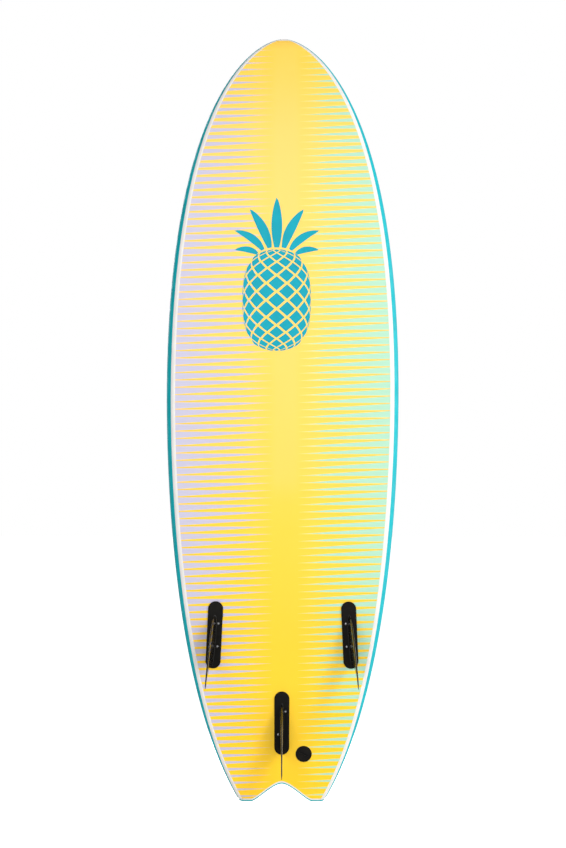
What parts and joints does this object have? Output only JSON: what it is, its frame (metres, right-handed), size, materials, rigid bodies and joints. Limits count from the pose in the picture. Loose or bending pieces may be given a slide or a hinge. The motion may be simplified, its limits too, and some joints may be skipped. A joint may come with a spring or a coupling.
{
  "type": "soft-top surfboard",
  "caption": "Soft-top surfboard with a rounded nose, swallow tail, printed striped underside, foam rails, bolted fins and a leash plug beside the middle fin.",
  "frame": {"origin": "bottom centre of the whole board's box: on the plane of the tail tips, on the centre line, midway between the fin tips and the deck side of the nose", "axes": "+Z from tail to nose, +Y towards the deck side (the underside with its fins faces -Y), +X to the right when looking at the underside"},
  "size_m": [0.555, 0.2508, 1.8283],
  "materials": {
    "slick": "semi-gloss printed sheet",
    "white_foam": "smooth white foam",
    "rail_foam": "satin turquoise foam",
    "deck_foam": "textured foam",
    "core_foam": "bead foam",
    "stringer_wood": "raw plywood",
    "fin_plastic": "glossy black",
    "plug_plastic": "satin black",
    "steel": "stainless"
  },
  "bodies": {
    "root": {"bottom_slick": "slick", "bottom_foam": "white_foam", "edge_strip_left": "white_foam", "edge_strip_right": "white_foam", "edge_strip_tail": "white_foam", "rail_left": "rail_foam", "rail_right": "rail_foam", "tail_rail": "rail_foam", "deck_skin": "deck_foam", "core_left": "core_foam", "core_centre": "core_foam", "core_right": "core_foam", "stringer_left": "stringer_wood", "stringer_right": "stringer_wood", "fin_left": "fin_plastic", "fin_centre": "fin_plastic", "fin_right": "fin_plastic", "leash_nut": "plug_plastic", "leash_cup": "plug_plastic", "barrel_nuts_left": "plug_plastic", "barrel_nuts_centre": "plug_plastic", "barrel_nuts_right": "plug_plastic", "leash_pin": "steel", "fin_screws_left": "steel", "fin_screws_centre": "steel", "fin_screws_right": "steel"}
  },
  "joints": []
}
